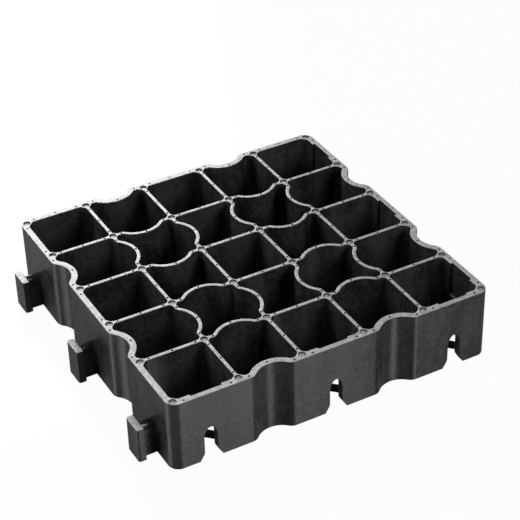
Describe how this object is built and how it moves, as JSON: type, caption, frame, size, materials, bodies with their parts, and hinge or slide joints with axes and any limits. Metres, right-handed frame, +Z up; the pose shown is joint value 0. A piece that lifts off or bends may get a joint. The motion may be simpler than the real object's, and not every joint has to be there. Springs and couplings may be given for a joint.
{
  "type": "grass grid paver",
  "caption": "Square moulded plastic ground grid with straight and bowed cell walls, T keys on two sides and matching notches on the other two.",
  "frame": {"origin": "on the ground, under the middle of the whole outline with the keys included", "axes": "+Z up out of the ground; -Y the front side and +X the right side, both with notches; -X the left side and +Y the back side, both with keys"},
  "size_m": [0.2646, 0.2646, 0.055],
  "materials": {
    "black_plastic": "recycled black plastic with a dull sheen, faint streaks and worn top edges"
  },
  "bodies": {
    "root": {"grid_paver": "black_plastic"}
  },
  "joints": []
}
